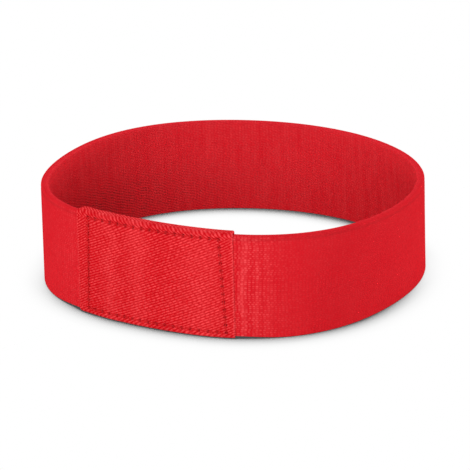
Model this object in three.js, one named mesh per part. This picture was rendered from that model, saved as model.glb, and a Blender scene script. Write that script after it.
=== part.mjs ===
// An elastic wristband: a strip of woven elastic bent into a ring that stands on its edge. The strip's two
// cut ends butt inside a sleeve of satin, which a rectangle of lockstitching holds shut and holds on.
//
// Units are millimetres, +Z is up, and the origin is on the ground in the middle of the ring's footprint.
// Every piece is drawn lying flat and is then bent round: x runs up the strip's width, y outwards through
// its thickness with the strip's outer face at 0, and z along its length from the middle of the sleeve.

import * as THREE from 'three';

// The ring
const MEAN_RADIUS = 28.85; // of the outer face, halfway up
const RING_STEPS = 48;
const SLEEVE_ANGLE = THREE.MathUtils.degToRad(244.2); // of the sleeve's middle, counter-clockwise from +X

// How the soft ring strays from a circle halfway up, and how far its top edge lies outside its bottom edge.
// Each is a sum of waves round the ring, given as the number of crests, the depth and one crest's angle.
const OUT_OF_ROUND = [wave(2, 0.07, 31), wave(3, 0.26, 63), wave(4, 0.53, 20.5), wave(5, 0.21, -9.5)];
const INWARD_LEAN = 0.1;
const LEAN = [wave(1, -0.33, 0), wave(2, -0.56, 44), wave(3, -0.28, 24.5), wave(4, -0.12, 0)];

// The woven elastic web
const WEB_WIDTH = 15;
const WEB_THICKNESS = 1.2;
const WEB_EDGE_RADIUS = 0.3;
const BUTT_GAP = 0.6; // between the two cut ends

// The rubber cores, which are slit from sheet and so are square
const CORE_COUNT = 10;
const CORE_PITCH = 1.35;
const CORE_SIDE = 0.5;
const CORE_CLEARANCE = 0.06;
const CORE_WANDER = 0.04; // how far a core strays from mid-thickness

// The satin sleeve
const SATIN = 0.25; // thickness of the cloth
const SLEEVE_LENGTH = 25.2;
const SLEEVE_SLANT = 0.35; // how far its bottom edge lies ahead of its top edge
const SLEEVE_TOP = 15.45;
const SLEEVE_STEPS = 20;
const SLEEVE_EDGE_RADIUS = 0.5;
const FACE_CLEARANCE = 0.15; // between the web's faces and the satin
const EDGE_CLEARANCE = 0.05; // between the web's bottom edge and the satin
const HEM_WIDTH = 3; // of the cloth turned under at each end
const HEM_RAMP = 1.3; // length over which the hem's second layer fades out
const WEB_LIFT = SATIN + EDGE_CLEARANCE; // how far the sleeve holds the web's bottom edge off the ground
const LIFT_REACH = 9; // how far beyond the sleeve the web takes to come back down

// The stitching
const THREAD_RADIUS = 0.12;
const THREAD_SIDES = 5;
const THREAD_CLEARANCE = 0.05; // between the satin and the thread
const STITCH_LENGTH = 1.2;
const STITCH_ARCH = 0.06; // how far the thread rises between two needle holes
const STEPS_PER_STITCH = 2;
const STITCH_INSET_ENDS = 1.8; // from the sleeve's ends to the stitching
const STITCH_INSET_EDGES = 0.85; // from the sleeve's folded edges to the stitching
const STITCH_CORNER_RADIUS = 0.4;
const THREAD_OPENING = 0.8; // between the thread's two ends

const ELASTIC = { color: 0xcf2029, roughness: 0.85, metalness: 0 };
const RUBBER = { color: 0xe6dcc0, roughness: 0.6, metalness: 0 };
const SATIN_CLOTH = { color: 0xe32a34, roughness: 0.45, metalness: 0 };
const THREAD = { color: 0xc81d27, roughness: 0.6, metalness: 0 };

function wave(crests, depth, crestDegrees) {
  return { crests, depth, crest: THREE.MathUtils.degToRad(crestDegrees) };
}

function sumOfWaves(waves, angle) {
  return waves.reduce((sum, w) => sum + w.depth * Math.cos(w.crests * (angle - w.crest)), 0);
}

function outerRadius(angle, up) {
  const lean = (up / WEB_WIDTH - 0.5) * (sumOfWaves(LEAN, angle) - INWARD_LEAN);
  return MEAN_RADIUS + sumOfWaves(OUT_OF_ROUND, angle) + lean;
}

// Where a point of the flat strip goes when the strip is bent round into the ring.
function bentPoint(up, outwards, along) {
  const angle = SLEEVE_ANGLE + along / MEAN_RADIUS;
  const radius = outerRadius(angle, up);
  const delta = 0.001;
  const slope = (outerRadius(angle + delta, up) - outerRadius(angle - delta, up)) / (2 * delta);
  const radial = new THREE.Vector3(Math.cos(angle), Math.sin(angle), 0);
  const around = new THREE.Vector3(-Math.sin(angle), Math.cos(angle), 0);
  const normal = radial.clone().multiplyScalar(radius).addScaledVector(around, -slope).normalize();
  return radial.multiplyScalar(radius).addScaledVector(normal, outwards).setZ(up);
}

function movePoints(geometry, move) {
  const position = geometry.attributes.position;
  for (let i = 0; i < position.count; i += 1) {
    const moved = move(position.getX(i), position.getY(i), position.getZ(i));
    position.setXYZ(i, moved.x, moved.y, moved.z);
  }
  geometry.computeVertexNormals();
  return geometry;
}

function bendRound(geometry) {
  return movePoints(geometry, bentPoint);
}

// The sleeve's bottom fold lies under the web, so the web's bottom edge rises as it nears the sleeve.
function liftTowardsSleeve(geometry) {
  const halfRing = Math.PI * MEAN_RADIUS;
  return movePoints(geometry, (up, outwards, along) => {
    const fromSleeve = halfRing - Math.abs(halfRing - along) - (SLEEVE_LENGTH + SLEEVE_SLANT) / 2;
    const share = 1 - THREE.MathUtils.smoothstep(fromSleeve, 0, LIFT_REACH);
    return new THREE.Vector3(up + WEB_LIFT * share * (1 - up / WEB_WIDTH), outwards, along);
  });
}

// A flat bar's cross-section, from its bottom inner corner to its top outer corner, with corners rounded.
function barSection(PathClass, low, high, cornerRadius) {
  const section = new PathClass();
  const inLow = low.clone().addScalar(cornerRadius);
  const inHigh = high.clone().subScalar(cornerRadius);
  const centres = [[inHigh.x, inHigh.y], [inLow.x, inHigh.y], [inLow.x, inLow.y], [inHigh.x, inLow.y]];
  centres.forEach(([x, y], quarter) => {
    section.absarc(x, y, cornerRadius, quarter * (Math.PI / 2), (quarter + 1) * (Math.PI / 2), false);
  });
  return section;
}

function squareSection(PathClass, centre, side) {
  const corners = [[-1, -1], [1, -1], [1, 1], [-1, 1]];
  const points = corners.map(([x, y]) => new THREE.Vector2(x, y).multiplyScalar(side / 2).add(centre));
  return new PathClass(points);
}

function extrude(section, start, length, steps) {
  const options = { depth: length, steps, bevelEnabled: false, curveSegments: 2 };
  return new THREE.ExtrudeGeometry(section, options).translate(0, 0, start);
}

// The web and its cores run right round, from one cut end to the other.
function extrudeRound(section) {
  const length = 2 * Math.PI * MEAN_RADIUS - BUTT_GAP;
  return bendRound(liftTowardsSleeve(extrude(section, BUTT_GAP / 2, length, RING_STEPS)));
}

function namedMesh(name, geometry, look) {
  const mesh = new THREE.Mesh(geometry, new THREE.MeshStandardMaterial(look));
  mesh.name = name;
  return mesh;
}

function coreCentres() {
  const middle = new THREE.Vector2(WEB_WIDTH / 2, -WEB_THICKNESS / 2);
  return Array.from({ length: CORE_COUNT }, (_, i) => {
    const across = (i - (CORE_COUNT - 1) / 2) * CORE_PITCH;
    return new THREE.Vector2(across, CORE_WANDER * Math.sin(2 * i + 1)).add(middle);
  });
}

function elasticWeb() {
  const low = new THREE.Vector2(0, -WEB_THICKNESS);
  const high = new THREE.Vector2(WEB_WIDTH, 0);
  const section = barSection(THREE.Shape, low, high, WEB_EDGE_RADIUS);
  const channelSide = CORE_SIDE + 2 * CORE_CLEARANCE;
  section.holes = coreCentres().map((centre) => squareSection(THREE.Path, centre, channelSide));
  return namedMesh('elastic_web', extrudeRound(section), ELASTIC);
}

function rubberCores() {
  return coreCentres().map((centre, i) => {
    const geometry = extrudeRound(squareSection(THREE.Shape, centre, CORE_SIDE));
    return namedMesh(`rubber_core_${String(i + 1).padStart(2, '0')}`, geometry, RUBBER);
  });
}

// How much of the hem's second layer there is at a place along the sleeve: 1 at its ends, 0 in its middle.
function hemShare(along) {
  const fromEnd = SLEEVE_LENGTH / 2 - Math.abs(along);
  return 1 - THREE.MathUtils.smoothstep(fromEnd, HEM_WIDTH, HEM_WIDTH + HEM_RAMP);
}

// The turned-under hems push both of the sleeve's faces away from the web.
function thickenHems(geometry) {
  const outerFace = FACE_CLEARANCE + SATIN / 2;
  const innerFace = -WEB_THICKNESS - outerFace;
  return movePoints(geometry, (up, outwards, along) => {
    const side = outwards > outerFace ? 1 : outwards < innerFace ? -1 : 0;
    return new THREE.Vector3(up, outwards + side * SATIN * hemShare(along), along);
  });
}

// The sleeve sits a little askew on the web, so its ends aren't quite upright.
function slantEnds(geometry) {
  return movePoints(geometry, (up, outwards, along) => {
    return new THREE.Vector3(up, outwards, along + SLEEVE_SLANT * (0.5 - up / SLEEVE_TOP));
  });
}

function satinSleeve() {
  const low = new THREE.Vector2(0, -WEB_THICKNESS - FACE_CLEARANCE - SATIN);
  const high = new THREE.Vector2(SLEEVE_TOP, FACE_CLEARANCE + SATIN);
  const section = barSection(THREE.Shape, low, high, SLEEVE_EDGE_RADIUS);
  const inLow = low.clone().addScalar(SATIN);
  const inHigh = high.clone().subScalar(SATIN);
  section.holes = [barSection(THREE.Path, inLow, inHigh, SLEEVE_EDGE_RADIUS - SATIN)];
  const flat = extrude(section, -SLEEVE_LENGTH / 2, SLEEVE_LENGTH, SLEEVE_STEPS);
  return namedMesh('satin_sleeve', bendRound(slantEnds(thickenHems(flat))), SATIN_CLOTH);
}

// The rectangle that the needle follows, as a path in the flat strip's x and z.
function stitchRectangle() {
  const low = new THREE.Vector2(STITCH_INSET_EDGES, STITCH_INSET_ENDS - SLEEVE_LENGTH / 2);
  const high = new THREE.Vector2(SLEEVE_TOP - STITCH_INSET_EDGES, -low.y);
  const outline = new THREE.Shape(barSection(THREE.Path, low, high, STITCH_CORNER_RADIUS).getPoints(4));
  outline.closePath();
  return outline;
}

// One thread of the lockstitch lies along the rectangle on one face, and dips to the cloth at each hole.
function threadPoints(side) {
  const rectangle = stitchRectangle();
  const length = rectangle.getLength() - THREAD_OPENING;
  const steps = Math.round(length / STITCH_LENGTH) * STEPS_PER_STITCH;
  const webFace = side > 0 ? 0 : -WEB_THICKNESS;
  return Array.from({ length: steps + 1 }, (_, i) => {
    const at = rectangle.getPointAt((i / steps) * (length / rectangle.getLength()));
    const overWeb = FACE_CLEARANCE + SATIN * (1 + hemShare(at.y)) + THREAD_CLEARANCE + THREAD_RADIUS;
    const arch = i % STEPS_PER_STITCH === 0 ? 0 : STITCH_ARCH;
    return new THREE.Vector3(at.x, webFace + side * (overWeb + arch), at.y);
  });
}

function threadMesh(name, side) {
  const points = threadPoints(side);
  const extrudePath = new THREE.CatmullRomCurve3(points, false, 'centripetal');
  const circle = new THREE.Path().absarc(0, 0, THREAD_RADIUS, 0, 2 * Math.PI);
  const section = new THREE.Shape(circle.getSpacedPoints(THREAD_SIDES));
  const geometry = new THREE.ExtrudeGeometry(section, { steps: points.length - 1, extrudePath });
  return namedMesh(name, bendRound(slantEnds(geometry)), THREAD);
}

const group = new THREE.Group();
group.add(elasticWeb(), ...rubberCores(), satinSleeve());
group.add(threadMesh('needle_thread', 1), threadMesh('bobbin_thread', -1));

// The footprint's middle goes to the origin.
const footprint = new THREE.Box3().setFromObject(group).getCenter(new THREE.Vector3());
group.position.set(-footprint.x, -footprint.y, 0);

export default group;
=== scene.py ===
"""The looks of a red elastic wristband whose joint is covered by a stitched satin sleeve.

Every soft piece is worked out lying flat, and is then bent round the ring that the CAD cores follow.
Lengths are in metres. A place on the strip is three numbers: along it from the middle of the sleeve,
anticlockwise seen from above; up its width from the ground; and out from the middle of the web's
thickness. Left and right are as seen from outside the ring, in front of the sleeve.
"""

import math

import bpy
import numpy as np
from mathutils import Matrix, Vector


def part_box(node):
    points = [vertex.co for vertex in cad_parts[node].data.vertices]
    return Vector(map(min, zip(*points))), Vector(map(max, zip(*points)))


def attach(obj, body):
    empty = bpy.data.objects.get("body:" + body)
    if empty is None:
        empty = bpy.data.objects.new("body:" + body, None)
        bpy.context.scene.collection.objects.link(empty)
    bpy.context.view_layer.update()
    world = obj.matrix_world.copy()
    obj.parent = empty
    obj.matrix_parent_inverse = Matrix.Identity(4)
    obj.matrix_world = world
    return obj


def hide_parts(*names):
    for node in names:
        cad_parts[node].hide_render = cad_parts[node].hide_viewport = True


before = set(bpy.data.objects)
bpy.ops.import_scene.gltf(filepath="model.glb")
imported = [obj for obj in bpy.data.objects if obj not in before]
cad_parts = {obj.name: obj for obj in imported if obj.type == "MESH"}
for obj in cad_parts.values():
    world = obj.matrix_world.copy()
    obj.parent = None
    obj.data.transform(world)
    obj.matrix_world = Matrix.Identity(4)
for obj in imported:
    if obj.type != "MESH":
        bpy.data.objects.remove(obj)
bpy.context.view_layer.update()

MM = 0.001
TAU = 2 * math.pi
CORES = [name for name in sorted(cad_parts) if name.startswith("rubber_core")]

# The ring: the waves that its radius is made of, and the steps that its length is measured in
RING_WAVES = 6
TABLE_STEPS = 2880

# The rows of quads round each rounded edge of the web and the sleeve
CORNER_ROWS = 4

# How blunt the ends of the yarns' floats are, in both weaves
FLOAT_BLUNTNESS = 3

# The woven elastic web, whose foot is pressed flat on the ground and whose weave starts inside the sleeve
WEB_FULLNESS = 0.04 * MM
WEB_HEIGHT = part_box("elastic_web")[1].z + WEB_FULLNESS
WEB_THICKNESS = 1.2 * MM
WEB_CORNER = 0.3 * MM
WEB_SQUASH = 0.15 * MM
BUTT_GAP = 0.6 * MM
TUCK = 1 * MM
WEB_LIFT = 0.3 * MM
LIFT_REACH = 9 * MM

# The groove below the web's top selvedge: how far down it is, its (depth, reach), and how dark the shade
# painted in it is
SELVEDGE = 0.5 * MM
SELVEDGE_GROOVE = (0.035 * MM, 0.2 * MM)
SELVEDGE_SHADE = 0.2

# The web's mesh follows its yarns and their repeat
WEB_YARNS = 52
ROWS_PER_YARN = 2
WEB_REPEAT = 1.5 * MM
COLUMNS_PER_REPEAT = 4
HIDDEN_COLUMNS = 6

# The web's relief: bricks and the columns they line up in, ribs along the yarns, and soft ripples
BRICK_DEPTH = 0.006 * MM
COLUMN_DEPTH = 0.010 * MM
RIB_DEPTH = 0.006 * MM
RIPPLE_DEPTH = 0.02 * MM
RIPPLE_STRETCH = 0.15
WEAVE_DRIFT = 0.1
WEAVE_UNEVENNESS = 0.35
LEAST_RELIEF = 0.2

# The web's weave: its floats, the columns they line up in, and the slanting rows of its inner side
WEB_FLOAT = 0.52 * MM
WEB_ROW = 0.3 * MM
COLUMN_PITCH = 1.85 * MM
FIRST_COLUMN = 1.3 * MM
INNER_ROW = 0.45 * MM
INNER_SLANT = 0.35

# How plainly the weave shows, from 0 to 1, which also paints the web lighter there: a painted highlight,
# strongest where the web leaves the sleeve. The far side begins between two shares of the way round.
OUTER_BOLDNESS = 0.15
INNER_BOLDNESS = 0.32
RIGHT_BOLDNESS_AND_HIGHLIGHT = 0.85
LEFT_BOLDNESS_AND_HIGHLIGHT = 0.28
BOLD_REACH = 5.4 * MM
FAR_BOLDNESS_AND_HIGHLIGHT = 0.35
FAR_SIDE = (0.22, 0.32)
RIM_BOLDNESS = 0.3

# Where the dark gaps between the inner side's floats are deepened into painted shade: a stretch of the ring,
# and how far down, as shares of the web's height
SHADED_PLACE = 137 * MM
SHADED_REACH = 28 * MM
SHADED_DEPTHS = (0.3, 0.75)
LEAST_OPEN = 0.06

# The satin sleeve. ON_FACE is how squarely a row faces outwards where its face begins, and where it is full.
SLEEVE_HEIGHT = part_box("satin_sleeve")[1].z
SLEEVE_LENGTH = 25.05 * MM
SLEEVE_SLANT = 0.35 * MM
SATIN = 0.25 * MM
CLEARANCE = 0.06 * MM
SLEEVE_CORNER = 0.22 * MM
THINNEST = 0.2
ON_FACE = (0.2, 0.9)
OUTER_ROWS = 180
INNER_ROWS = 76
SLEEVE_COLUMNS = 320
FOLD_COLUMNS = 4
LINING_COLUMNS = 8

# The hems' pressed second layer, and the lap along the foot of the inner side
HEM_WIDTH = 3 * MM
HEM_RAMP = 1.3 * MM
HEM_LAYER = 0.25
HEM_FADE = 4
LAP_HEIGHT = 2.4 * MM
LAP_RAMP = 0.15 * MM

# The sleeve's top edge: how much of its height is reshaped, how far it rises and tilts, and its left corner
TOP_BAND = 2 * MM
TOP_RISE = 0.17 * MM
TOP_TILT = 0.12 * MM
TOP_CORNER_WIDTH = 0.9 * MM
TOP_CORNER_DROP = 0.34 * MM

# The soft upright folds that the stitching leaves in the sleeve's face, as (crest along, reach), with their
# light and shade also painted into the cloth's colour
FOLDS = np.array([(-6.6, 1.3), (-1.9, 1.5), (7.8, 3.6)]) * MM
FOLD_DEPTH = 0.08 * MM
FOLD_DRIFT = 0.6 * MM
FOLD_WANDER = 6 * MM
FOLD_STRETCH = 0.2
FOLD_UNEVENNESS = 0.15
FOLD_SHADING = 0.15

# A painted highlight along the sleeve's edges: its folded ends, and its rounded top and bottom
END_HIGHLIGHT_REACH = 0.35 * MM
EDGE_HIGHLIGHT = 0.5
RIM_HIGHLIGHT = 0.25

# The satin's weave: each row of floats starts a little further on than the one below
SATIN_ROW = 0.188 * MM
SATIN_REPEAT = 0.85 * MM
SATIN_OFFSET = 0.478
RISING = np.array([-1 / SATIN_REPEAT, SATIN_OFFSET / SATIN_ROW])
FALLING = np.array([1 / SATIN_REPEAT, (1 - SATIN_OFFSET) / SATIN_ROW])
RISE = np.array([SATIN_OFFSET * SATIN_REPEAT, SATIN_ROW])
RISING_SHARE = 0.75
SATIN_UNEVENNESS = 0.3
FLOAT_REPEAT = 0.75 * MM
FLOAT_OFFSET = 0.41

# The zones of the sleeve: inside the stitching, and in the border on each side of it. In the borders the
# cloth is pulled askew, so the rising lines are other waves, given in crests per metre along and up.
MIDDLE, RIGHT, TOP, LEFT, BOTTOM = range(5)
RIGHT_WAVE = np.array([-1330, 2500])
TOP_WAVE = np.array([1600, 2350])
LEFT_WAVE = np.array([-1500, 2540])
BOTTOM_WAVE = np.array([-1330, 2300])
ZONE_DEPTHS = np.array([0.010, 0.009, 0.003, 0.009, 0.002]) * MM

# The stitching: its corners as (along, up), its stitches' lengths, and how the cloth sinks at its line and
# holes, with each sinking as (depth, reach), and how dark the shade painted there is
STITCH_CORNERS = np.array([(11.3, 0.85), (10.5, 14.5), (-10.35, 14.6), (-10.75, 0.95)]) * MM
STITCH_ACROSS = 1.3 * MM
STITCH_UPRIGHT = 1.15 * MM
HOLLOW = (0.09 * MM, 0.55 * MM)
GROOVE = (0.025 * MM, 0.14 * MM)
PIT = (0.14 * MM, 0.2 * MM)
GROOVE_SHADE = 0.08
PIT_SHADE = 0.95

# The sewing thread: three plies that dip into every needle hole, and a gap of a few steps between its ends
THREAD_RADIUS = 0.08 * MM
THREAD_TWIST = 0.55 * MM
THREAD_SIDES = 12
STEPS_PER_STITCH = 12
THREAD_GAP = 3
THREAD_PROUD = 0.75
THREAD_DIP = 0.24 * MM
DIP_SHARPNESS = 5
PLIES = 3
PLY_RELIEF = 0.14
FIBRES_ROUND = 18.0

# Colours, as linear red, green and blue, and 1 for opaque
WEB_DARK = (0.665, 0.0065, 0.0150, 1)
WEB_LIGHT_AND_HIGHLIGHT = (0.93, 0.080, 0.088, 1)
INNER_DARK = (0.70, 0.0120, 0.023, 1)
INNER_LIGHT = (0.97, 0.090, 0.098, 1)
WEB_GAP_AND_SHADE = (0.25, 0.017, 0.019, 1)
WEB_SHEEN = (1, 0.06, 0.07, 1)
SATIN_DARK = (0.62, 0.004, 0.009, 1)
# The satin's light colour is pinker, standing in for its painted glints and highlights.
SATIN_LIGHT_AND_GLINT = (1.0, 0.083, 0.092, 1)
SATIN_HOLE_SHADE = (0.18, 0.004, 0.006, 1)
THREAD_DARK = (0.66, 0.010, 0.014, 1)
THREAD_LIGHT = (0.92, 0.035, 0.040, 1)
THREAD_SHEEN = (1, 0.08, 0.09, 1)
RUBBER_DARK = (0.62, 0.53, 0.36, 1)
RUBBER_LIGHT = (0.80, 0.72, 0.54, 1)
FLOOR_GREY = (0.8, 0.8, 0.8, 1)
WHITE = (1, 1, 1, 1)

# The floor, and the object's shadow painted into its glow from how much sky each place sees, which fades at
# the ring's left and right ends
FLOOR_REACH = 3.0
CONTACT_REACH = 7.2 * MM
CONTACT_STRENGTH = 13.7
CONTACT_SHARPNESS = 3.8
DEEPEST_SHADE = 0.93
SIDE_WASH = 0.8
WASH_SHARPNESS = 3

# The lights, each as its name, place, width and power in watts
AMBIENT = 0.4
LIGHTS = [
    ("front", (0.0, -0.5, 0.11), 0.2, 0.76),
    ("key", (-0.22, -0.42, 0.42), 0.35, 0.98),
    ("left front", (-0.35, -0.35, 0.12), 0.2, 0.07),
    ("right", (0.45, 0.24, 0.02), 0.12, 1.7),
    ("left", (-0.45, 0.24, 0.02), 0.12, 0.97),
    ("back", (0.0, 0.4, 0.4), 0.3, 1.4),
]

# The camera: its lens and sensor in millimetres, its place, and where it looks
LENS = 158.5
SENSOR = 36
CAMERA_PLACE = Vector((-0.00014, -0.29820, 0.11106))
CAMERA_AIM = Vector((-0.00014, 0.00053, 0.00505))


# ---------------------------------------------------------------- the ring

def smoothstep(value, low, high):
    share = np.clip((value - low) / (high - low), 0, 1)
    return share * share * (3 - 2 * share)


def bell(distance, height, reach):
    """A smooth bump that is highest where the distance is 0, and falls away over the reach."""
    return height * np.exp(-((distance / reach) ** 2))


def node_points(name):
    """The vertices of a CAD node."""
    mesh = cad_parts[name].data
    points = np.empty(3 * len(mesh.vertices))
    mesh.vertices.foreach_get("co", points)
    return points.reshape(-1, 3)


class Ring:
    """The curved surface that the middle of the web's thickness follows, found from its rubber cores."""

    def __init__(self):
        x, y, up = np.vstack([node_points(name) for name in CORES]).T
        waves = self.waves(np.arctan2(y, x), up)
        self.depths = np.linalg.lstsq(waves, np.hypot(x, y), rcond=None)[0]
        sleeve = node_points("satin_sleeve")
        ends = np.arctan2(sleeve[:, 1], sleeve[:, 0])
        self.angles = (ends.min() + ends.max()) / 2 + np.linspace(0, TAU, TABLE_STEPS + 1)
        face = self.place_at(self.angles, WEB_HEIGHT / 2, WEB_THICKNESS / 2)
        steps = np.linalg.norm(np.diff(face, axis=0), axis=1)
        self.alongs = np.concatenate([[0], np.cumsum(steps)])
        self.length = self.alongs[-1]

    def waves(self, angle, up):
        """The waves round the ring that its radius is made of, and again for how they lean with height."""
        turns = np.arange(RING_WAVES + 1)[:, None] * angle
        upright = np.vstack([np.cos(turns), np.sin(turns[1:])]).T
        return np.hstack([upright, upright * (up / WEB_HEIGHT - 0.5)[:, None]])

    def place_at(self, angle, up, out):
        """Where places at these angles round the ring are; out is measured square to its surface."""
        angle, up, out = (values.ravel() for values in np.broadcast_arrays(angle, up, out))
        delta = 1e-4
        radius = self.waves(angle, up) @ self.depths
        ahead = self.waves(angle + delta, up) @ self.depths
        slope = (ahead - radius) / delta
        share = out / np.hypot(radius, slope)
        cosine, sine = np.cos(angle), np.sin(angle)
        x = radius * cosine + share * (radius * cosine + slope * sine)
        y = radius * sine + share * (radius * sine - slope * cosine)
        return np.column_stack([x, y, up])

    def place(self, along, up, out):
        """Where places on the strip go when it is bent round."""
        along, up, out = np.broadcast_arrays(along, up, out)
        angle = np.interp(np.mod(along, self.length), self.alongs, self.angles)
        return self.place_at(angle, up, out).reshape(*along.shape, 3)


ring = Ring()


# ---------------------------------------------------------------- sections and grids

class Section:
    """A flat bar's rounded outline: up its outer face from the foot, over the top and down the inner face."""

    def __init__(self, low, high, thickness, radius, outer_rows, inner_rows):
        outer = self.half(low + radius, high - radius, outer_rows)
        inner = self.half(low + radius, high - radius, inner_rows)[:, ::-1]
        self.side = np.concatenate([np.ones(outer.shape[1]), -np.ones(inner.shape[1])])
        self.centre_up, self.normal_up, self.facing = np.hstack([outer, inner])
        self.centre_out = self.side * (thickness / 2 - radius)
        self.normal_out = self.side * self.facing
        self.radius = radius
        up, out = self.points(0)
        gaps = np.hypot(np.diff(up[:, 0], append=up[0]), np.diff(out[:, 0], append=out[0]))
        # Up the flat of the outer face, the way round the outline is the same as the height.
        self.around = low + radius - math.pi / 2 * radius + np.concatenate([[0], np.cumsum(gaps)])

    def half(self, low, high, rows):
        """Each row's centre height, and how far its normal points up and out, on one side of the bar."""
        turn = np.linspace(0, math.pi / 2, CORNER_ROWS + 1)
        face = np.linspace(low, high, rows + 1)[1:-1]
        centre_up = np.concatenate([np.full_like(turn, low), face, np.full_like(turn, high)])
        normal_up = np.concatenate([-np.cos(turn), np.zeros_like(face), np.sin(turn)])
        facing = np.concatenate([np.sin(turn), np.ones_like(face), np.cos(turn)])
        return np.array([centre_up, normal_up, facing])

    def points(self, lift):
        """The outline's points, up and out, once moved outwards along their normals by lift."""
        reach = self.radius + np.atleast_2d(lift)
        up = self.centre_up[:, None] + reach * self.normal_up[:, None]
        out = self.centre_out[:, None] + reach * self.normal_out[:, None]
        return up, out


def ring_grid(rows, columns, closed):
    """The quads of a tube whose vertices are stored row by row: a closed ring, or one with capped ends."""
    row = np.arange(rows)[:, None]
    column = np.arange(columns if closed else columns - 1)[None, :]
    next_row, next_column = (row + 1) % rows, (column + 1) % columns
    corners = [row * columns + column, row * columns + next_column,
               next_row * columns + next_column, next_row * columns + column]
    quads = np.stack(corners, axis=-1).reshape(-1, 4)
    if closed:
        return quads
    near = np.arange(rows // 2 - 1)
    far = rows - 1 - near
    cap = np.stack([near, near + 1, far - 1, far], axis=-1) * columns
    return np.vstack([quads, cap, cap[:, ::-1] + columns - 1])


def corner_uv(across, upwards):
    """Each quad's corners as (across, upwards), from each number's values at the four corners in turn."""
    values = np.stack(np.broadcast_arrays(*across, *upwards), axis=-1)
    return values.reshape(-1, 2, 4).swapaxes(1, 2)


def grid_uv(row_values, column_values):
    """Each quad's corners as (column value, row value), from the values at the edges between the quads."""
    low, high = row_values[:-1, None], row_values[1:, None]
    left, right = column_values[None, :-1], column_values[None, 1:]
    return corner_uv([left, right, right, left], [low, low, high, high])


def inset(share, margin):
    """A share of the way over a tile, drawn in from the tile's edges by the margin."""
    return margin + share * (1 - 2 * margin)


def atlas_uv(row_share, columns, segments=6, across=3, margin=0.01):
    """A strip much longer than it is wide, cut into segments that are tiled over the unit square."""
    segment = np.arange(columns) * segments // columns
    start = np.searchsorted(segment, segment)
    width = np.bincount(segment)[segment]
    left = (np.arange(columns) - start) / width
    right = left + 1 / width
    low, high = row_share[:-1, None], row_share[1:, None]
    tile_column, tile_row = segment % across, segment // across
    u = [(tile_column + inset(edge, margin)) / across for edge in (left, right, right, left)]
    v = [(tile_row + inset(edge, margin)) / (segments // across) for edge in (low, low, high, high)]
    return corner_uv(u, v)


def signed_volume(points, faces):
    """Six times the volume inside the quads, and negative where they face inwards."""
    a, b, c, d = (points[faces[:, i]] for i in range(4))
    return np.einsum("ij,ij->", a, np.cross(b, c)) + np.einsum("ij,ij->", a, np.cross(c, d))


def make_piece(name, points, faces, material, uv_layers, attributes=()):
    """A smooth mesh of quads.

    A UV layer gives two numbers for each corner; where it lacks the end caps, which come last, they get
    zeros. An attribute gives one number for each vertex."""
    points = points.reshape(-1, 3)
    order = slice(None) if signed_volume(points, faces) > 0 else slice(None, None, -1)
    mesh = bpy.data.meshes.new(name)
    mesh.vertices.add(len(points))
    mesh.vertices.foreach_set("co", points.astype(np.float32).ravel())
    mesh.loops.add(faces.size)
    mesh.loops.foreach_set("vertex_index", faces[:, order].astype(np.int32).ravel())
    mesh.polygons.add(len(faces))
    mesh.polygons.foreach_set("loop_start", np.arange(0, faces.size, 4, dtype=np.int32))
    mesh.update(calc_edges=True)
    mesh.shade_smooth()
    for layer, corners in uv_layers.items():
        padded = np.zeros((len(faces), 4, 2), np.float32)
        padded[:len(corners)] = corners
        mesh.uv_layers.new(name=layer).data.foreach_set("uv", padded[:, order].ravel())
    for attribute, values in dict(attributes).items():
        layer = mesh.attributes.new(attribute, "FLOAT", "POINT")
        layer.data.foreach_set("value", values.astype(np.float32).ravel())
    mesh.materials.append(material)
    piece = bpy.data.objects.new(name, mesh)
    bpy.context.scene.collection.objects.link(piece)
    return piece


def wander(x, y, seed, wavelength, waves=7):
    """A smooth random height, mostly between -1 and 1, that never quite repeats.

    Its waves run in random directions and are 0.7 to 1.4 times as close together as the wavelength says."""
    random = np.random.default_rng(seed)
    total = 0
    for _ in range(waves):
        heading, phase = random.uniform(0, TAU, 2)
        turns = random.uniform(0.7, 1.4) / wavelength
        total = total + np.cos(TAU * turns * (x * math.cos(heading) + y * math.sin(heading)) + phase)
    return total / (waves / 2)


def wave_height(wave, x, y):
    """A straight wave's height, from -1 to 1, given its crests per metre in x and in y."""
    return np.cos(TAU * (wave[0] * x + wave[1] * y))


# ---------------------------------------------------------------- the elastic web

def web_columns():
    """Places along the web: a few where the sleeve hides it, and in step with the weave where it shows."""
    hidden_end = SLEEVE_LENGTH / 2 - TUCK
    hidden = np.linspace(BUTT_GAP / 2, hidden_end, HIDDEN_COLUMNS, endpoint=False)
    shown_length = ring.length - 2 * hidden_end
    steps = round(shown_length / WEB_REPEAT) * COLUMNS_PER_REPEAT
    shown = np.linspace(hidden_end, ring.length - hidden_end, steps + 1)
    return np.concatenate([hidden, shown, ring.length - hidden[::-1]])


def weave_boldness_and_highlight(along, side):
    """How plainly the weave shows, and how much lighter the web is painted there as a painted highlight: most
    where the web leaves the sleeve, and some on the far side.
    """
    from_right = np.mod(along, ring.length) - SLEEVE_LENGTH / 2
    from_left = ring.length - SLEEVE_LENGTH - from_right
    right = bell(from_right, RIGHT_BOLDNESS_AND_HIGHLIGHT, BOLD_REACH)
    left = bell(from_left, LEFT_BOLDNESS_AND_HIGHLIGHT, BOLD_REACH)
    far = FAR_BOLDNESS_AND_HIGHLIGHT * smoothstep(np.minimum(from_right, from_left) / ring.length, *FAR_SIDE)
    return np.where(side > 0, OUTER_BOLDNESS + right + left + far, INNER_BOLDNESS)


def weave_gaps_and_shade(along, up, side):
    """How dark the gaps between the floats are: a little everywhere on the inner side, and most low on it in
    one stretch of the ring, where it is painted shade.
    """
    low = smoothstep(1 - up / WEB_HEIGHT, *SHADED_DEPTHS)
    stretch = bell(np.mod(along, ring.length) - SHADED_PLACE, 1, SHADED_REACH)
    return (side < 0) * (LEAST_OPEN + (1 - LEAST_OPEN) * low * stretch)


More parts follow.
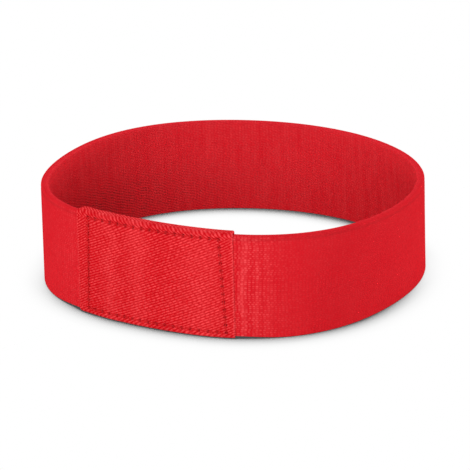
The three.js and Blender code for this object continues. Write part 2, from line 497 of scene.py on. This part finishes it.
def web_relief(along, around, yarn):
    """How far the woven faces stand out: floats laid like bricks, and faint columns where they line up."""
    drift = WEAVE_DRIFT * wander(along, around, seed=3, wavelength=9 * MM)
    columns = np.cos(TAU * ((along - SLEEVE_LENGTH / 2 + TUCK) / WEB_REPEAT + drift))
    bricks = columns * np.cos(math.pi * yarn)
    ribs = np.cos(TAU * yarn)
    strength = 1 + WEAVE_UNEVENNESS * wander(along, around, seed=4, wavelength=5 * MM)
    ripple = wander(along, RIPPLE_STRETCH * around, seed=5, wavelength=7 * MM)
    woven = strength * (BRICK_DEPTH * bricks + COLUMN_DEPTH * columns) + RIB_DEPTH * ribs
    return woven + RIPPLE_DEPTH * ripple


def lifted(up, along):
    """The web's bottom edge rises over the sleeve's bottom fold as it nears the sleeve."""
    from_sleeve = ring.length / 2 - np.abs(ring.length / 2 - along) - SLEEVE_LENGTH / 2
    share = 1 - smoothstep(from_sleeve, 0, LIFT_REACH)
    return up + WEB_LIFT * share * (1 - up / WEB_HEIGHT)


def elastic_web(material):
    rows = ROWS_PER_YARN * WEB_YARNS
    section = Section(-WEB_SQUASH, WEB_HEIGHT, WEB_THICKNESS, WEB_CORNER, rows, rows)
    side, facing, around = section.side[:, None], section.facing[:, None], section.around[:-1, None]
    yarn = (np.arange(len(side))[:, None] - CORNER_ROWS) / ROWS_PER_YARN
    along = web_columns()[None, :]
    # This share also paints a highlight into the web's colour, with less of it on the rounded edges.
    boldness_and_highlight = weave_boldness_and_highlight(along, side) * (RIM_BOLDNESS + (1 - RIM_BOLDNESS) * facing)
    relief = (LEAST_RELIEF + (1 - LEAST_RELIEF) * boldness_and_highlight) * web_relief(along, around, yarn)
    shown = smoothstep(np.minimum(along, ring.length - along), SLEEVE_LENGTH / 2 - TUCK, SLEEVE_LENGTH / 2)
    flat_up, _ = section.points(0)
    groove = bell(WEB_HEIGHT - SELVEDGE - flat_up, *SELVEDGE_GROOVE) * (side > 0)
    up, out = section.points((relief - groove) * shown * facing ** 2)
    points = ring.place(along, lifted(np.maximum(up, 0), along), out)
    attributes = {
        "boldness_and_highlight": boldness_and_highlight,
        "inner": np.broadcast_to(side < 0, up.shape),
        "groove": np.broadcast_to(groove / SELVEDGE_GROOVE[0], up.shape),
        "gaps_and_shade": weave_gaps_and_shade(along, flat_up, side),
    }
    layers = {
        "strip": grid_uv(section.around, along[0]) / MM,
        "OFBake": atlas_uv(np.linspace(0, 1, len(section.around)), along.size - 1),
    }
    faces = ring_grid(*up.shape, closed=False)
    return make_piece("elastic_band", points, faces, material, layers, attributes)


# ---------------------------------------------------------------- the stitched rectangle

def stitch_sides():
    """The four sides of the stitched rectangle, each as its start and end."""
    return zip(STITCH_CORNERS, np.roll(STITCH_CORNERS, -1, axis=0))


def stitch_holes():
    """The needle holes round the stitched rectangle, one after another."""
    holes = []
    for start, end in stitch_sides():
        upright = abs(end[1] - start[1]) > abs(end[0] - start[0])
        count = round(np.linalg.norm(end - start) / (STITCH_UPRIGHT if upright else STITCH_ACROSS))
        holes += [start + (end - start) * i / count for i in range(count)]
    return np.array(holes)


def distance_to_stitching(along, up):
    """How far a place is from the stitched rectangle's nearest side, and from the nearest needle hole."""
    to_line = np.full(np.broadcast(along, up).shape, np.inf)
    for start, end in stitch_sides():
        run = end - start
        share = ((along - start[0]) * run[0] + (up - start[1]) * run[1]) / (run @ run)
        share = np.clip(share, 0, 1)
        gap = np.hypot(along - start[0] - share * run[0], up - start[1] - share * run[1])
        to_line = np.minimum(to_line, gap)
    to_hole = np.full_like(to_line, np.inf)
    for hole in stitch_holes():
        to_hole = np.minimum(to_hole, np.hypot(along - hole[0], up - hole[1]))
    return to_line, to_hole


def beyond_stitching(along, up):
    """How far a place lies beyond the stitching at the right, top, left and bottom."""
    low_right, top_right, _, low_left = STITCH_CORNERS
    rise = np.clip((up - low_right[1]) / (top_right[1] - low_right[1]), 0, 1)
    right = low_right[0] + rise * (top_right[0] - low_right[0])
    run = np.clip((along - low_left[0]) / (low_right[0] - low_left[0]), 0, 1)
    bottom = low_left[1] + run * (low_right[1] - low_left[1])
    return along - right, up - top_right[1], low_left[0] - along, bottom - up


def zone_of(along, up):
    """Which zone of the sleeve a place is in."""
    right, top, left, bottom = beyond_stitching(along, up)
    return np.select([top > 0, bottom > 0, right > 0, left > 0], [TOP, BOTTOM, RIGHT, LEFT], MIDDLE)


# ---------------------------------------------------------------- the satin sleeve

def turning(wave, mirrored=False):
    """The map that turns and scales a place so that the satin's rising lines come out as the given wave."""
    scale = np.linalg.norm(wave) / np.linalg.norm(RISING)
    here, there = wave / np.linalg.norm(wave), RISING / np.linalg.norm(RISING)
    if mirrored:
        half_way = (here + there) / np.linalg.norm(here + there)
        return scale * (2 * np.outer(half_way, half_way) - np.eye(2))
    cosine, sine = here @ there, here[0] * there[1] - here[1] * there[0]
    return scale * np.array([[cosine, -sine], [sine, cosine]])


ZONE_MAPS = np.array([
    np.eye(2),
    turning(RIGHT_WAVE),
    turning(TOP_WAVE, mirrored=True),
    turning(LEFT_WAVE),
    turning(BOTTOM_WAVE),
])


def satin_places(along, around, zone):
    """Places on the cloth measured along and across its own grain."""
    places = np.stack(np.broadcast_arrays(along, around), axis=-1)
    return np.einsum("...ij,...j->...i", ZONE_MAPS[zone], places)


def satin_relief(along, around, zone):
    """How far the cloth stands out from its smooth shape, before the stitching pulls it in."""
    x, y = np.moveaxis(satin_places(along, around, zone), -1, 0)
    strength = 1 + SATIN_UNEVENNESS * wander(along, around, seed=11, wavelength=2.5 * MM)
    rising, falling = wave_height(RISING, x, y), wave_height(FALLING, x, y)
    return ZONE_DEPTHS[zone] * strength * (RISING_SHARE * rising + (1 - RISING_SHARE) * falling)


def hem_share(along):
    """How much of the hem's pressed second layer there is: 1 at the sleeve's ends, 0 in its middle."""
    return 1 - smoothstep(SLEEVE_LENGTH / 2 - np.abs(along), HEM_WIDTH, HEM_WIDTH + HEM_RAMP)


def fold_height(along, around):
    """How far the soft folds stand out, about -0.5 in the hollows and 0.5 on the crests."""
    place = along + FOLD_DRIFT * wander(along, around, seed=12, wavelength=FOLD_WANDER)
    crests = sum(bell(place - crest, 1, reach) for crest, reach in FOLDS)
    uneven = wander(along, FOLD_STRETCH * around, seed=13, wavelength=FOLD_WANDER)
    return crests - 0.5 + FOLD_UNEVENNESS * uneven


def sleeve_shape(along, up):
    """Moves the flat sleeve's places so that it sits a little askew and its top left corner is rounded."""
    slanted = along + SLEEVE_SLANT * (0.5 - up / SLEEVE_HEIGHT)
    near_top = smoothstep(up, SLEEVE_HEIGHT - TOP_BAND, SLEEVE_HEIGHT)
    rise = TOP_RISE - TOP_TILT * np.sin(math.pi * np.clip(along / SLEEVE_LENGTH, -0.5, 0.5))
    from_left = np.clip((along + SLEEVE_LENGTH / 2) / TOP_CORNER_WIDTH, 0, 1)
    rounding = TOP_CORNER_DROP * (1 - np.sqrt(1 - (1 - from_left) ** 2))
    return slanted, up + near_top * (rise - rounding)


def sleeve_columns():
    """Places along the sleeve's skin: its outer side, one folded end, its inner side, the other folded end.

    The second array says how far through the cloth each column is: 0 on the inner side, 1 on the outer."""
    end = SLEEVE_LENGTH / 2 - SATIN
    turn = np.linspace(0, math.pi, FOLD_COLUMNS + 2)[1:-1]
    outer = np.linspace(-end, end, SLEEVE_COLUMNS + 1)
    inner = np.linspace(end, -end, LINING_COLUMNS + 1)
    fold = end + SATIN * np.sin(turn)
    through = (1 + np.cos(turn)) / 2
    along = np.concatenate([outer, fold, inner, -fold])
    return along, np.concatenate([np.ones_like(outer), through, np.zeros_like(inner), through[::-1]])


def sleeve_skin(section, along, up, pull):
    """How thick the sleeve's wall is: its cloth, relief, hems and lap, and how far its face is pulled out."""
    side, facing, around = section.side[:, None], section.facing[:, None], section.around[:-1, None]
    thick = SATIN * (1 + HEM_LAYER * hem_share(along) * facing ** HEM_FADE)
    lap = SATIN * (side < 0) * smoothstep(LAP_HEIGHT - up, 0, LAP_RAMP)
    relief = satin_relief(along, around, zone_of(along, up))
    skin = thick + relief + smoothstep(facing, *ON_FACE) * (lap + pull)
    return np.maximum(skin, THINNEST * thick)


def satin_sleeve(material):
    slot = WEB_THICKNESS + 2 * CLEARANCE
    section = Section(SATIN, SLEEVE_HEIGHT - SATIN, slot, SLEEVE_CORNER, OUTER_ROWS, INNER_ROWS)
    columns, through = sleeve_columns()
    along = columns[None, :]
    rough_up, _ = section.points(SATIN)
    to_line, to_hole = distance_to_stitching(along, rough_up)
    folds_and_shading = fold_height(along, section.around[:-1, None])
    sink = bell(to_line, *HOLLOW) + bell(to_line, *GROOVE) + bell(to_hole, *PIT)
    skin = sleeve_skin(section, along, rough_up, FOLD_DEPTH * folds_and_shading - sink)
    up, out = section.points(through * skin)
    placed_along, placed_up = sleeve_shape(along, up)
    points = ring.place(placed_along, np.maximum(placed_up, 0), out)
    facing = section.facing[:, None]
    # Painted shade in the stitching's groove and needle holes.
    shade = bell(to_line, GROOVE_SHADE, GROOVE[1]) + bell(to_hole, PIT_SHADE, PIT[1])
    # A painted highlight on the folded ends and on the rounded top and bottom.
    end_highlight = 1 - smoothstep(SLEEVE_LENGTH / 2 - np.abs(along), 0, END_HIGHLIGHT_REACH)
    attributes = {
        "painted_shade": through * smoothstep(facing, *ON_FACE) * shade,
        "folds_and_shading": folds_and_shading,
        "edge_highlight": np.maximum(RIM_HIGHLIGHT * (1 - facing), end_highlight),
    }
    layers = {
        "strip": sleeve_strip_uv(section, columns, rough_up),
        "OFBake": sleeve_bake_uv(section, columns),
    }
    faces = ring_grid(*up.shape, closed=True)
    return make_piece("satin_cover", points, faces, material, layers, attributes)


def sleeve_strip_uv(section, along, up):
    """Millimetres along and across the cloth's own grain at each corner, by the zone of the quad's middle."""
    closed_along = np.append(along, along[0])
    corners = grid_uv(section.around, closed_along)
    closed_up = np.append(up[:, 0], up[0, 0])
    middle_up = (closed_up[:-1] + closed_up[1:]) / 2
    middle_along = (closed_along[:-1] + closed_along[1:]) / 2
    zone = zone_of(middle_along[None, :], middle_up[:, None]).reshape(-1, 1)
    return satin_places(corners[..., 0], corners[..., 1], np.repeat(zone, 4, axis=1)) / MM


def sleeve_bake_uv(section, along, outer_share=0.88, margin=0.005):
    """The sleeve's skin spread over the unit square, with most of the room given to its outer side."""
    rows = np.linspace(0, 1, len(section.around))
    outer = np.linspace(0, outer_share, SLEEVE_COLUMNS + 1)
    rest = np.linspace(outer_share, 1, len(along) - SLEEVE_COLUMNS)[1:]
    return grid_uv(inset(rows, margin), inset(np.concatenate([outer, rest]), margin))


# ---------------------------------------------------------------- threads

def turns_round(count):
    """That many angles evenly spaced round a circle, one to a row."""
    return np.linspace(0, TAU, count, endpoint=False)[:, None]


def sweep(centres, outwards, radius):
    """A tube's points round a line of centres, from its radius at each (place round it, step along it)."""
    tangent = np.gradient(centres, axis=0)
    tangent /= np.linalg.norm(tangent, axis=1)[:, None]
    across = np.cross(tangent, outwards)
    across /= np.linalg.norm(across, axis=1)[:, None]
    upright = np.cross(across, tangent)
    turn = turns_round(len(radius))[..., None]
    return centres + radius[..., None] * (np.cos(turn) * across + np.sin(turn) * upright)


def plied_radius(steps, step_length):
    """The radius of a thread with its plies laid round it, at each (place round it, step along it)."""
    twist = TAU * np.arange(steps)[None, :] * step_length / THREAD_TWIST
    plies = np.cos(PLIES * (turns_round(THREAD_SIDES) - twist))
    return THREAD_RADIUS * (1 - PLY_RELIEF + PLY_RELIEF * plies)


def thread_line(side):
    """A thread's centres, along the groove and down into each hole, and which way is outwards there."""
    holes = stitch_holes()
    share = np.arange(STEPS_PER_STITCH) / STEPS_PER_STITCH
    following = np.roll(holes, -1, axis=0)
    route = holes[:, None, :] + share[None, :, None] * (following - holes)[:, None, :]
    along, up = route.reshape(-1, 2).T
    from_middle = np.abs(2 * np.tile(share, len(holes)) - 1)
    groove = SATIN * (1 + HEM_LAYER * hem_share(along)) - HOLLOW[0] - GROOVE[0]
    height = groove + THREAD_PROUD * THREAD_RADIUS - THREAD_DIP * from_middle ** DIP_SHARPNESS
    along, up = sleeve_shape(along, up)
    out = side * (WEB_THICKNESS / 2 + CLEARANCE + height)
    centres = ring.place(along, up, out)
    return centres, ring.place(along, up, out + side * MM) - centres


def sewing_thread(name, side, material):
    centres, outwards = thread_line(side)
    step = np.linalg.norm(np.diff(centres, axis=0), axis=1).mean()
    steps = len(centres) - THREAD_GAP
    points = sweep(centres[:steps], outwards[:steps], plied_radius(steps, step))
    faces = ring_grid(THREAD_SIDES, steps, closed=False)
    layers = {"strip": grid_uv(np.linspace(0, 1, THREAD_SIDES + 1), np.arange(steps) * step / MM)}
    return make_piece(name, points, faces, material, layers)


# ---------------------------------------------------------------- materials

class Recipe:
    """A material in the making, with short ways to add its nodes."""

    def __init__(self, name, **finish):
        self.material = bpy.data.materials.new(name)
        self.material.use_nodes = True
        self.nodes = self.material.node_tree.nodes
        self.shader = next(node for node in self.nodes if node.type == "BSDF_PRINCIPLED")
        for socket, value in finish.items():
            self.shader.inputs[socket.replace("_", " ")].default_value = value

    def join(self, value, socket):
        """Links a node's output to a socket, or sets the socket to a plain value."""
        if isinstance(value, bpy.types.NodeSocket):
            self.material.node_tree.links.new(value, socket)
        else:
            socket.default_value = value

    def node(self, kind, inputs=(), **settings):
        node = self.nodes.new(kind)
        for name, value in settings.items():
            setattr(node, name, value)
        for socket, value in dict(inputs).items():
            self.join(value, node.inputs[socket])
        return node

    def math(self, operation, *values):
        return self.node("ShaderNodeMath", enumerate(values), operation=operation).outputs[0]

    def product(self, first, *others):
        for other in others:
            first = self.math("MULTIPLY", first, other)
        return first

    def add(self, first, *others):
        for other in others:
            first = self.math("ADD", first, other)
        return first

    def between(self, share, low, high):
        """Goes evenly from low, where the share is 0, to high, where it is 1."""
        return self.math("MULTIPLY_ADD", share, high - low, low)

    def wave(self, value, repeat, whole, half):
        """Swings between whole, its value at every whole repeat, and half, its value half-way between."""
        swing = self.math("COSINE", self.product(value, TAU / repeat))
        return self.math("MULTIPLY_ADD", swing, (whole - half) / 2, (whole + half) / 2)

    def strip(self):
        """The strip UV layer's two numbers: millimetres, apart from a thread's second one, which is turns."""
        place = self.node("ShaderNodeUVMap", uv_map="strip").outputs[0]
        parts = self.node("ShaderNodeSeparateXYZ", {0: place}).outputs
        return parts[0], parts[1]

    def vector(self, *parts):
        return self.node("ShaderNodeCombineXYZ", enumerate(parts)).outputs[0]

    def white(self, *parts):
        """A random number from 0 to 1 for each place, unlike its neighbours'."""
        place = self.vector(*parts)
        return self.node("ShaderNodeTexWhiteNoise", {0: place}, noise_dimensions="3D").outputs[0]

    def noise(self, x, y, x_scale, y_scale, layer):
        """A smooth random number from 0 to 1, whose scales are lumps for each unit of x and y."""
        place = self.vector(self.product(x, x_scale), self.product(y, y_scale), layer)
        return self.node("ShaderNodeTexNoise", {"Vector": place, "Scale": 1.0, "Detail": 2.0}).outputs[0]

    def attribute(self, name):
        return self.node("ShaderNodeAttribute", attribute_name=name).outputs["Fac"]

    def mix(self, share, first, second):
        return self.node("ShaderNodeMix", {0: share, 6: first, 7: second}, data_type="RGBA").outputs[2]

    def turned(self, x, y, direction):
        """A place measured along and across a direction."""
        cosine, sine = direction / np.linalg.norm(direction)
        along = self.math("MULTIPLY_ADD", x, cosine, self.math("MULTIPLY", y, sine))
        return along, self.math("MULTIPLY_ADD", x, -sine, self.math("MULTIPLY", y, cosine))

    def floats(self, x, y, repeat, row_height, offset, jitter, cover, thinness=1.0):
        """Floats of yarn laid in rows: the height across each one, and a random number for each one.

        Each row starts offset of a repeat after the one below, give or take jitter of one, and its floats
        cover the given share of the row. A thinness above 1 leaves more of a gap between the rows."""
        rows = self.math("DIVIDE", y, row_height)
        row = self.math("FLOOR", rows)
        shift = self.math("MULTIPLY_ADD", row, -offset, self.product(self.white(row, 0.5, 0.5), jitter))
        place = self.math("MULTIPLY_ADD", x, 1 / repeat, shift)
        cell = self.math("FLOOR", place)
        across = self.math("SUBTRACT", self.math("FRACT", place), 0.5)
        rise = self.math("SUBTRACT", self.math("FRACT", rows), 0.5)
        from_middle = self.product(self.math("ABSOLUTE", across), 2 / cover)
        fall = self.math("MINIMUM", self.math("POWER", from_middle, FLOAT_BLUNTNESS), 1)
        ends = self.math("SUBTRACT", 1, fall)
        sides = self.math("MULTIPLY_ADD", self.product(rise, rise), -4, 1)
        sides = self.math("POWER", self.math("MAXIMUM", sides, 0), thinness)
        height = self.math("MAXIMUM", self.product(ends, sides), 0)
        return height, self.white(cell, row)

    def finish(self, colour, roughness, height, depth):
        self.join(colour, self.shader.inputs["Base Color"])
        self.join(roughness, self.shader.inputs["Roughness"])
        bump = self.node("ShaderNodeBump", {"Height": height, "Distance": depth, "Strength": 1.0})
        self.join(bump.outputs[0], self.shader.inputs["Normal"])
        return self.material


def weave_light(m, x, y, height, tone, sway):
    """How light the elastic's weave is, from its floats and from the columns that they line up in, all raised
    where the weave shows most: a painted highlight.
    """
    boldness_and_highlight = m.attribute("boldness_and_highlight")
    first = (SLEEVE_LENGTH / 2 + FIRST_COLUMN) / COLUMN_PITCH
    column = m.add(m.product(x, MM / COLUMN_PITCH), -first, m.between(sway, -0.6, 0.6))
    columns = m.product(m.wave(column, 1, 0.21, -0.11), boldness_and_highlight, m.between(tone, 0.6, 1.4))
    floats = m.product(height, m.between(tone, 0.1, 0.85))
    cloud = m.noise(x, y, 0.22, 0.18, layer=3.0)
    return m.add(m.product(m.add(columns, floats), boldness_and_highlight), m.between(cloud, 0.04, 0.16))


def elastic_material():
    m = Recipe("elastic", Specular_IOR_Level=0.0, Sheen_Weight=0.12, Sheen_Tint=WEB_SHEEN)
    x, y = m.strip()
    height, tone = m.floats(x, y, WEB_FLOAT / MM, WEB_ROW / MM, offset=0.0, jitter=0.5, cover=0.85)
    sway = m.noise(x, y, 0.5, 0.12, layer=0.0)
    light = weave_light(m, x, y, height, tone, sway)
    rows = m.wave(m.add(m.product(x, INNER_SLANT), y, sway), INNER_ROW / MM, 1, 0)
    streaks = m.noise(x, y, 0.9, 0.12, layer=7.0)
    inner_light = m.add(light, m.between(streaks, -0.175, 0.175), m.between(rows, -0.04, 0.04))
    outer = m.mix(light, WEB_DARK, WEB_LIGHT_AND_HIGHLIGHT)
    inner = m.mix(inner_light, INNER_DARK, INNER_LIGHT)
    cloth = m.mix(m.attribute("inner"), outer, inner)
    uneven = m.between(m.math("POWER", tone, 3), 0.6, 1.5)
    # The gaps between the floats, darkened low on the inner side in one stretch as painted shade.
    gap = m.product(m.between(rows, 1, 0), m.between(height, 1, 0.5), uneven, m.attribute("gaps_and_shade"))
    # Painted shade in the selvedge groove, mixed with the gaps' shade towards the dark colour.
    groove = m.product(m.attribute("groove"), SELVEDGE_SHADE)
    colour = m.mix(m.add(groove, gap), cloth, WEB_GAP_AND_SHADE)
    return m.finish(colour, m.between(tone, 0.45, 0.6), height, 0.025 * MM)


def satin_material():
    m = Recipe("satin", Specular_IOR_Level=0.0)
    x, y = m.strip()
    along, across = m.turned(x, y, RISE)
    line = 1 / np.linalg.norm(RISING)
    height, tone = m.floats(along, across, FLOAT_REPEAT / MM, line / MM, FLOAT_OFFSET,
                            jitter=0.8, cover=0.97, thinness=2.6)
    fibre = m.noise(along, across, 2.2, 5.0, layer=2.0)
    # The floats' random brightness is a painted glint, as the satin has no specular of its own; the weave
    # lines and fibres are its own pattern.
    light = m.add(
        m.product(height, m.between(tone, 0.24, 0.64)),
        m.wave(across, line / MM, 0.01, 0.25),
        m.between(fibre, -0.55, 0.55),
        # Painted light and shade of the folds: lighter on the crests, darker in the hollows.
        m.product(m.attribute("folds_and_shading"), FOLD_SHADING),
        # The painted highlight along the sleeve's edges.
        m.product(m.attribute("edge_highlight"), EDGE_HIGHLIGHT),
    )
    # Painted shade at the stitching's groove and holes.
    colour = m.mix(m.attribute("painted_shade"), m.mix(light, SATIN_DARK, SATIN_LIGHT_AND_GLINT), SATIN_HOLE_SHADE)
    return m.finish(colour, m.between(tone, 0.36, 0.58), height, 0.03 * MM)


def thread_material():
    m = Recipe("thread", Specular_IOR_Level=0.0, Sheen_Weight=0.1, Sheen_Tint=THREAD_SHEEN)
    length, turn = m.strip()
    lay = m.add(m.product(length, PLIES * MM / THREAD_TWIST), m.product(turn, FIBRES_ROUND))
    fibres = m.math("MULTIPLY_ADD", m.math("SINE", m.product(lay, TAU)), 0.5, 0.5)
    colour = m.mix(fibres, THREAD_DARK, THREAD_LIGHT)
    return m.finish(colour, m.between(fibres, 0.45, 0.6), fibres, 0.01 * MM)


def rubber_material():
    m = Recipe("rubber", Roughness=0.65, Specular_IOR_Level=0.4)
    place = m.node("ShaderNodeTexCoord").outputs["Object"]
    grain = m.node("ShaderNodeTexNoise", {"Vector": place, "Scale": 2500.0, "Detail": 3.0}).outputs[0]
    m.join(m.mix(grain, RUBBER_DARK, RUBBER_LIGHT), m.shader.inputs["Base Color"])
    return m.material


def floor_material():
    """White where the camera sees it, apart from a painted contact shadow, and grey to everything else."""
    m = Recipe("floor", Base_Color=FLOOR_GREY, Roughness=1.0, Specular_IOR_Level=0.0)
    # The contact shadow is painted from how much sky each place sees, weaker at the ring's left and right
    # ends.
    open_sky = m.node("ShaderNodeAmbientOcclusion", {"Distance": CONTACT_REACH}, samples=16).outputs["AO"]
    hidden = m.math("SUBTRACT", 1.0, open_sky)
    x, y, _ = m.node("ShaderNodeSeparateXYZ", {0: m.node("ShaderNodeTexCoord").outputs["Object"]}).outputs
    x_squared, y_squared = m.product(x, x), m.product(y, y)
    sideways = m.math("POWER", m.math("DIVIDE", x_squared, m.add(x_squared, y_squared)), WASH_SHARPNESS)
    strength = m.between(sideways, CONTACT_STRENGTH, (1 - SIDE_WASH) * CONTACT_STRENGTH)
    shade = m.product(m.math("POWER", hidden, CONTACT_SHARPNESS), strength)
    light = m.math("SUBTRACT", 1.0, m.math("MINIMUM", shade, DEEPEST_SHADE))
    glow = m.node("ShaderNodeEmission", {"Color": m.vector(light, light, light), "Strength": 1.0})
    seen = m.node("ShaderNodeLightPath").outputs["Is Camera Ray"]
    surface = m.node("ShaderNodeMixShader", {0: seen, 1: m.shader.outputs[0], 2: glow.outputs[0]})
    output = next(node for node in m.nodes if node.type == "OUTPUT_MATERIAL")
    m.join(surface.outputs[0], output.inputs["Surface"])
    return m.material


# ---------------------------------------------------------------- floor, lights and camera

def floor():
    reach = FLOOR_REACH
    mesh = bpy.data.meshes.new("floor")
    corners = [(-reach, -reach, 0), (reach, -reach, 0), (reach, reach, 0), (-reach, reach, 0)]
    mesh.from_pydata(corners, [], [(0, 1, 2, 3)])
    mesh.materials.append(floor_material())
    plane = bpy.data.objects.new("floor", mesh)
    bpy.context.scene.collection.objects.link(plane)


def studio():
    """Even light from all round, against a white backdrop."""
    world = bpy.data.worlds.new("studio")
    bpy.context.scene.world = world
    world.use_nodes = True
    nodes, links = world.node_tree.nodes, world.node_tree.links
    ambient = nodes["Background"]
    ambient.inputs["Strength"].default_value = AMBIENT
    backdrop = nodes.new("ShaderNodeBackground")
    for background in (ambient, backdrop):
        background.inputs["Color"].default_value = WHITE
    seen = nodes.new("ShaderNodeLightPath").outputs["Is Camera Ray"]
    both = nodes.new("ShaderNodeMixShader")
    for output, socket in [(seen, 0), (ambient.outputs[0], 1), (backdrop.outputs[0], 2)]:
        links.new(output, both.inputs[socket])
    links.new(both.outputs[0], nodes["World Output"].inputs["Surface"])


def area_light(name, place, width, power):
    """A round light that faces the middle of the floor."""
    light = bpy.data.lights.new(name, "AREA")
    light.shape = "DISK"
    light.size = width
    light.energy = power
    lamp = bpy.data.objects.new(name, light)
    lamp.location = place
    lamp.rotation_euler = (-Vector(place)).to_track_quat("-Z", "Y").to_euler()
    bpy.context.scene.collection.objects.link(lamp)


def camera():
    data = bpy.data.cameras.new("camera")
    data.sensor_width = SENSOR
    data.lens = LENS
    data.clip_start = 0.01
    holder = bpy.data.objects.new("camera", data)
    holder.location = CAMERA_PLACE
    holder.rotation_euler = (CAMERA_AIM - holder.location).to_track_quat("-Z", "Y").to_euler()
    bpy.context.scene.collection.objects.link(holder)
    bpy.context.scene.camera = holder
    bpy.context.scene.view_settings.view_transform = "Standard"


# ---------------------------------------------------------------- putting it together

camera()
floor()
studio()
for name, place, width, power in LIGHTS:
    area_light(name, place, width, power)

web = elastic_web(elastic_material())
cover = satin_sleeve(satin_material())
thread = thread_material()
needle = sewing_thread("needle_stitches", 1, thread)
bobbin = sewing_thread("bobbin_stitches", -1, thread)

for piece, node, slot in [
    (web, "elastic_web", "elastic"),
    (cover, "satin_sleeve", "satin"),
    (needle, "needle_thread", "sewing_thread"),
    (bobbin, "bobbin_thread", "sewing_thread"),
]:
    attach(piece, "root")
    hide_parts(node)

rubber = rubber_material()
for name in CORES:
    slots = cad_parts[name].data.materials
    slots.clear()
    slots.append(rubber)
